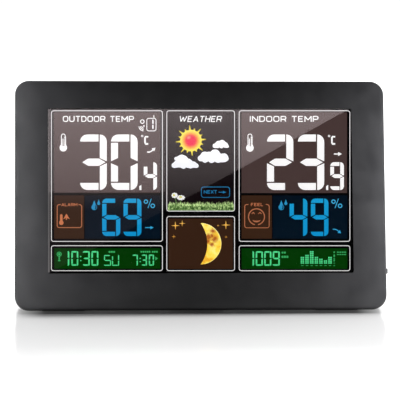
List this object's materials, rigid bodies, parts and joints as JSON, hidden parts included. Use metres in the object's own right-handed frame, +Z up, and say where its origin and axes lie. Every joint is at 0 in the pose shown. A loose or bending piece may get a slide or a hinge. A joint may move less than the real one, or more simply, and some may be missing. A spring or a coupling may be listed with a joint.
{
  "type": "home weather station",
  "caption": "Desk and wall display console for indoor and outdoor readings, with a fold-out easel leg, rear keys, battery bay and side socket.",
  "frame": {"origin": "middle of the footprint of the whole console, on the surface it stands on, with its leg open", "axes": "+X to the right as the display is read, along the longest side; +Y to the back, the shortest side; +Z up; the display faces -Y and leans back 13 degrees"},
  "size_m": [0.2023, 0.0512, 0.1229],
  "materials": {
    "black_plastic": "fine satin texture",
    "key_plastic": "satin",
    "clear_window": "polished, clear",
    "black_tape": "matt",
    "display_glass": "polished",
    "printed_film": "printed colour film",
    "white_film": "matt",
    "clear_acrylic": "polished",
    "led_lens": "gloss",
    "white_board": "satin",
    "white_plastic": "satin",
    "amber_film": "gloss film",
    "circuit_board": "solder mask",
    "blue_board": "solder mask",
    "chip_black": "moulded epoxy",
    "component": "matt",
    "capacitor_can": "sleeved can",
    "bright_metal": "tinned",
    "ferrite": "matt sintered",
    "copper_wire": "enamelled copper",
    "screw_steel": "zinc plated",
    "screw_black": "black oxide",
    "spring_steel": "nickel plated",
    "cell_wrap": "printed sleeve",
    "lead_red": "insulated wire",
    "foot_rubber": "matt rubber"
  },
  "bodies": {
    "console": {"front_housing": "black_plastic", "display_lens": "clear_window", "lens_adhesive": "black_tape", "lcd_glass": "display_glass", "colour_film": "printed_film", "diffuser_sheet": "white_film", "light_guide": "clear_acrylic", "reflector_sheet": "white_film", "backlight_leds": "led_lens", "led_strip": "white_board", "lcd_frame": "white_plastic", "lcd_ribbon": "amber_film", "main_board": "circuit_board", "board_chips": "chip_black", "board_passives": "component", "capacitors": "capacitor_can", "clock_crystal": "bright_metal", "buzzer": "chip_black", "pressure_sensor": "bright_metal", "radio_module": "blue_board", "radio_shield": "bright_metal", "ferrite_rod": "ferrite", "antenna_coil": "copper_wire", "antenna_saddles": "white_plastic", "side_board": "circuit_board", "usb_shell": "bright_metal", "usb_tongue": "white_plastic", "dc_jack": "chip_black", "dc_pin": "bright_metal", "light_switch": "chip_black", "key_board": "circuit_board", "key_switches": "chip_black", "key_board_screws": "screw_steel", "snooze_board": "circuit_board", "snooze_switch": "chip_black", "sensor_board": "circuit_board", "humidity_sensor": "white_plastic", "battery_springs": "spring_steel", "battery_plates": "spring_steel", "battery_cells": "cell_wrap", "battery_leads": "lead_red", "rear_housing": "black_plastic", "housing_screws": "screw_black", "board_screws": "screw_steel", "rubber_feet": "foot_rubber", "stand_pin": "screw_steel"},
    "stand": {"stand_leg": "black_plastic", "stand_foot_pad": "foot_rubber"},
    "battery_cover": {"battery_door": "black_plastic"},
    "snooze": {"snooze_bar": "key_plastic"},
    "side_switch": {"switch_knob": "key_plastic"},
    "rear_key_1": {"key_1": "key_plastic"},
    "rear_key_2": {"key_2": "key_plastic"},
    "rear_key_3": {"key_3": "key_plastic"},
    "rear_key_4": {"key_4": "key_plastic"},
    "rear_key_5": {"key_5": "key_plastic"},
    "rear_key_6": {"key_6": "key_plastic"}
  },
  "joints": [
    {"name": "leg_fold", "type": "hinge", "parent": "console", "child": "stand", "pos_m": [0, 0.00988, 0.05775], "axis": [1, 0, 0], "range_deg": [-22, 0]},
    {"name": "battery_door_lift", "type": "slide", "parent": "console", "child": "battery_cover", "axis": [0, 0.9744, -0.225], "range_m": [0, 0.03]},
    {"name": "snooze_press", "type": "slide", "parent": "console", "child": "snooze", "axis": [0, -0.225, -0.9744], "range_m": [0, 0.0007], "stiffness_N_per_m": 600, "springref_m": -0.0003},
    {"name": "side_switch_slide", "type": "slide", "parent": "console", "child": "side_switch", "axis": [0, 0.225, 0.9744], "range_m": [-0.0015, 0.0015]},
    {"name": "key_1_press", "type": "slide", "parent": "console", "child": "rear_key_1", "axis": [0, -0.9744, 0.225], "range_m": [0, 0.0006], "stiffness_N_per_m": 500, "springref_m": -0.0002},
    {"name": "key_2_press", "type": "slide", "parent": "console", "child": "rear_key_2", "axis": [0, -0.9744, 0.225], "range_m": [0, 0.0006], "stiffness_N_per_m": 500, "springref_m": -0.0002},
    {"name": "key_3_press", "type": "slide", "parent": "console", "child": "rear_key_3", "axis": [0, -0.9744, 0.225], "range_m": [0, 0.0006], "stiffness_N_per_m": 500, "springref_m": -0.0002},
    {"name": "key_4_press", "type": "slide", "parent": "console", "child": "rear_key_4", "axis": [0, -0.9744, 0.225], "range_m": [0, 0.0006], "stiffness_N_per_m": 500, "springref_m": -0.0002},
    {"name": "key_5_press", "type": "slide", "parent": "console", "child": "rear_key_5", "axis": [0, -0.9744, 0.225], "range_m": [0, 0.0006], "stiffness_N_per_m": 500, "springref_m": -0.0002},
    {"name": "key_6_press", "type": "slide", "parent": "console", "child": "rear_key_6", "axis": [0, -0.9744, 0.225], "range_m": [0, 0.0006], "stiffness_N_per_m": 500, "springref_m": -0.0002}
  ]
}
